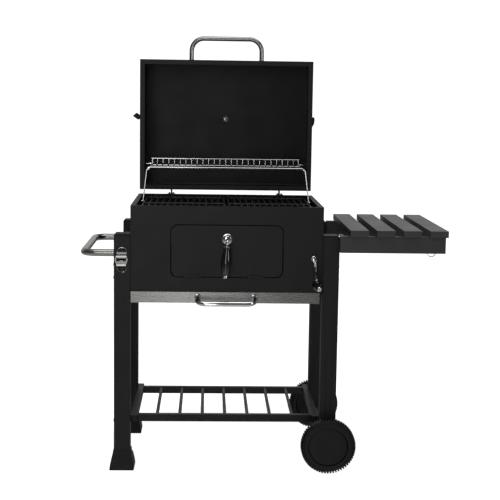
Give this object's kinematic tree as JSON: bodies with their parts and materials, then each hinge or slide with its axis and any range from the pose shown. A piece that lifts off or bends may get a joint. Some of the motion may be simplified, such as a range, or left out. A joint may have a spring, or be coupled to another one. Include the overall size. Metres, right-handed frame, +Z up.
{
  "type": "charcoal grill cart",
  "caption": "Box-type charcoal grill cart: hinged lid, swing-out warming rack, crank-lifted coal tray, fuel door, ash drawer, slatted side table, push handle and wheels.",
  "frame": {"origin": "on the ground under the centre of the bounding box, lid open", "axes": "+X to the user's right (side table end), +Y to the back, +Z up; the front with the fuel door faces -Y"},
  "size_m": [1.1254, 0.7995, 1.3595],
  "materials": {
    "black_satin": "satin black powder coat",
    "slat_grey": "satin charcoal powder coat",
    "grate_enamel": "semi-gloss black enamel",
    "stainless": "brushed",
    "zinc_steel": "dull zinc plate",
    "bright_chrome": "bright",
    "black_plastic": "matte moulded plastic",
    "black_gloss_plastic": "glossy"
  },
  "bodies": {
    "cart": {"firebox_front_panel": "black_satin", "firebox_back_panel": "black_satin", "firebox_left_panel": "black_satin", "firebox_right_panel": "black_satin", "firebox_floor": "black_satin", "grate_ledges": "black_satin", "drawer_runners": "black_satin", "tray_guides": "black_satin", "leg_front_left": "black_satin", "leg_rear_left": "black_satin", "leg_front_right": "black_satin", "leg_rear_right": "black_satin", "leg_caps": "black_plastic", "feet": "black_plastic", "axle": "zinc_steel", "shelf_cross_rails": "black_satin", "shelf_side_rails": "black_satin", "shelf_bars": "black_satin", "push_handle": "stainless", "table_aprons": "slat_grey", "table_end_rail": "slat_grey", "table_slat_1": "slat_grey", "table_slat_2": "slat_grey", "table_slat_3": "slat_grey", "table_slat_4": "slat_grey", "table_hook": "bright_chrome", "opener_plate": "black_gloss_plastic", "bottle_opener": "stainless", "crank_collar": "bright_chrome", "lid_hinge_brackets": "black_satin", "grill_grate_left": "grate_enamel", "grill_grate_right": "grate_enamel", "frame_bolts": "black_satin"},
    "lid": {"lid_wrap": "black_satin", "lid_cheek_left": "black_satin", "lid_cheek_right": "black_satin", "lid_handle": "stainless", "lid_hinge_leaves": "black_satin", "thermometer": "stainless", "rack_pivot_bolts": "bright_chrome"},
    "vent_left": {"vent_left": "black_plastic"},
    "vent_right": {"vent_right": "black_plastic"},
    "rack": {"warming_rack": "bright_chrome"},
    "rack_legs": {"rack_legs": "bright_chrome"},
    "door": {"fuel_door": "black_satin"},
    "door_handle": {"door_handle_metal": "bright_chrome", "door_handle_grip": "black_gloss_plastic", "door_latch": "zinc_steel"},
    "crank": {"crank_shaft": "bright_chrome", "crank_sleeve": "black_gloss_plastic"},
    "crank_knob": {"crank_knob": "black_gloss_plastic", "crank_knob_cap": "bright_chrome"},
    "charcoal_tray": {"charcoal_tray": "grate_enamel"},
    "ash_drawer": {"ash_pan": "zinc_steel", "drawer_front": "stainless", "drawer_handle": "stainless"},
    "wheel_front": {"wheel_front": "black_plastic", "hub_cap_front": "black_plastic"},
    "wheel_rear": {"wheel_rear": "black_plastic", "hub_cap_rear": "black_plastic"}
  },
  "joints": [
    {"name": "lid_hinge", "type": "hinge", "parent": "cart", "child": "lid", "pos_m": [-0.11175, 0.17225, 0.8205], "axis": [1, 0, 0], "range_deg": [0, 90]},
    {"name": "rack_swing", "type": "hinge", "parent": "lid", "child": "rack", "pos_m": [-0.11175, 0.23625, 0.9211], "axis": [1, 0, 0], "range_deg": [-90, 0]},
    {"name": "rack_leg_swing", "type": "hinge", "parent": "cart", "child": "rack_legs", "pos_m": [-0.11175, 0.01825, 0.811], "axis": [1, 0, 0], "range_deg": [0, 90]},
    {"name": "vent_left_turn", "type": "hinge", "parent": "lid", "child": "vent_left", "pos_m": [-0.40575, 0.27625, 1.0865], "axis": [1, 0, 0], "range_deg": [0, 45]},
    {"name": "vent_right_turn", "type": "hinge", "parent": "lid", "child": "vent_right", "pos_m": [0.18225, 0.27625, 1.0705], "axis": [1, 0, 0], "range_deg": [0, 45]},
    {"name": "door_hinge", "type": "hinge", "parent": "cart", "child": "door", "pos_m": [-0.11175, -0.28695, 0.6055], "axis": [1, 0, 0], "range_deg": [0, 95]},
    {"name": "door_handle_turn", "type": "hinge", "parent": "door", "child": "door_handle", "pos_m": [-0.11175, -0.28375, 0.7236], "axis": [0, 1, 0], "range_deg": [-90, 90]},
    {"name": "crank_turn", "type": "hinge", "parent": "cart", "child": "crank", "pos_m": [0.15475, -0.28375, 0.6658], "axis": [0, 1, 0], "range_deg": [-162.3, 162.3]},
    {"name": "crank_knob_spin", "type": "hinge", "parent": "crank", "child": "crank_knob", "pos_m": [0.16272, -0.34375, 0.58871], "axis": [0, 1, 0], "continuous": true},
    {"name": "tray_lift", "type": "slide", "parent": "cart", "child": "charcoal_tray", "axis": [0, 0, 1], "range_m": [-0.034, 0.034]},
    {"name": "ash_drawer_slide", "type": "slide", "parent": "cart", "child": "ash_drawer", "axis": [0, -1, 0], "range_m": [0, 0.3]},
    {"name": "wheel_front_spin", "type": "hinge", "parent": "cart", "child": "wheel_front", "pos_m": [0.20825, -0.31925, 0.085], "axis": [0, 1, 0], "continuous": true},
    {"name": "wheel_rear_spin", "type": "hinge", "parent": "cart", "child": "wheel_rear", "pos_m": [0.20825, 0.19375, 0.085], "axis": [0, 1, 0], "continuous": true}
  ],
  "couplings": [
    {"joint": "rack_swing", "follows": "lid_hinge", "ratio": -1},
    {"joint": "rack_leg_swing", "follows": "lid_hinge", "ratio": 1},
    {"joint": "tray_lift", "follows": "crank_turn", "m_per_rad": 0.012}
  ]
}
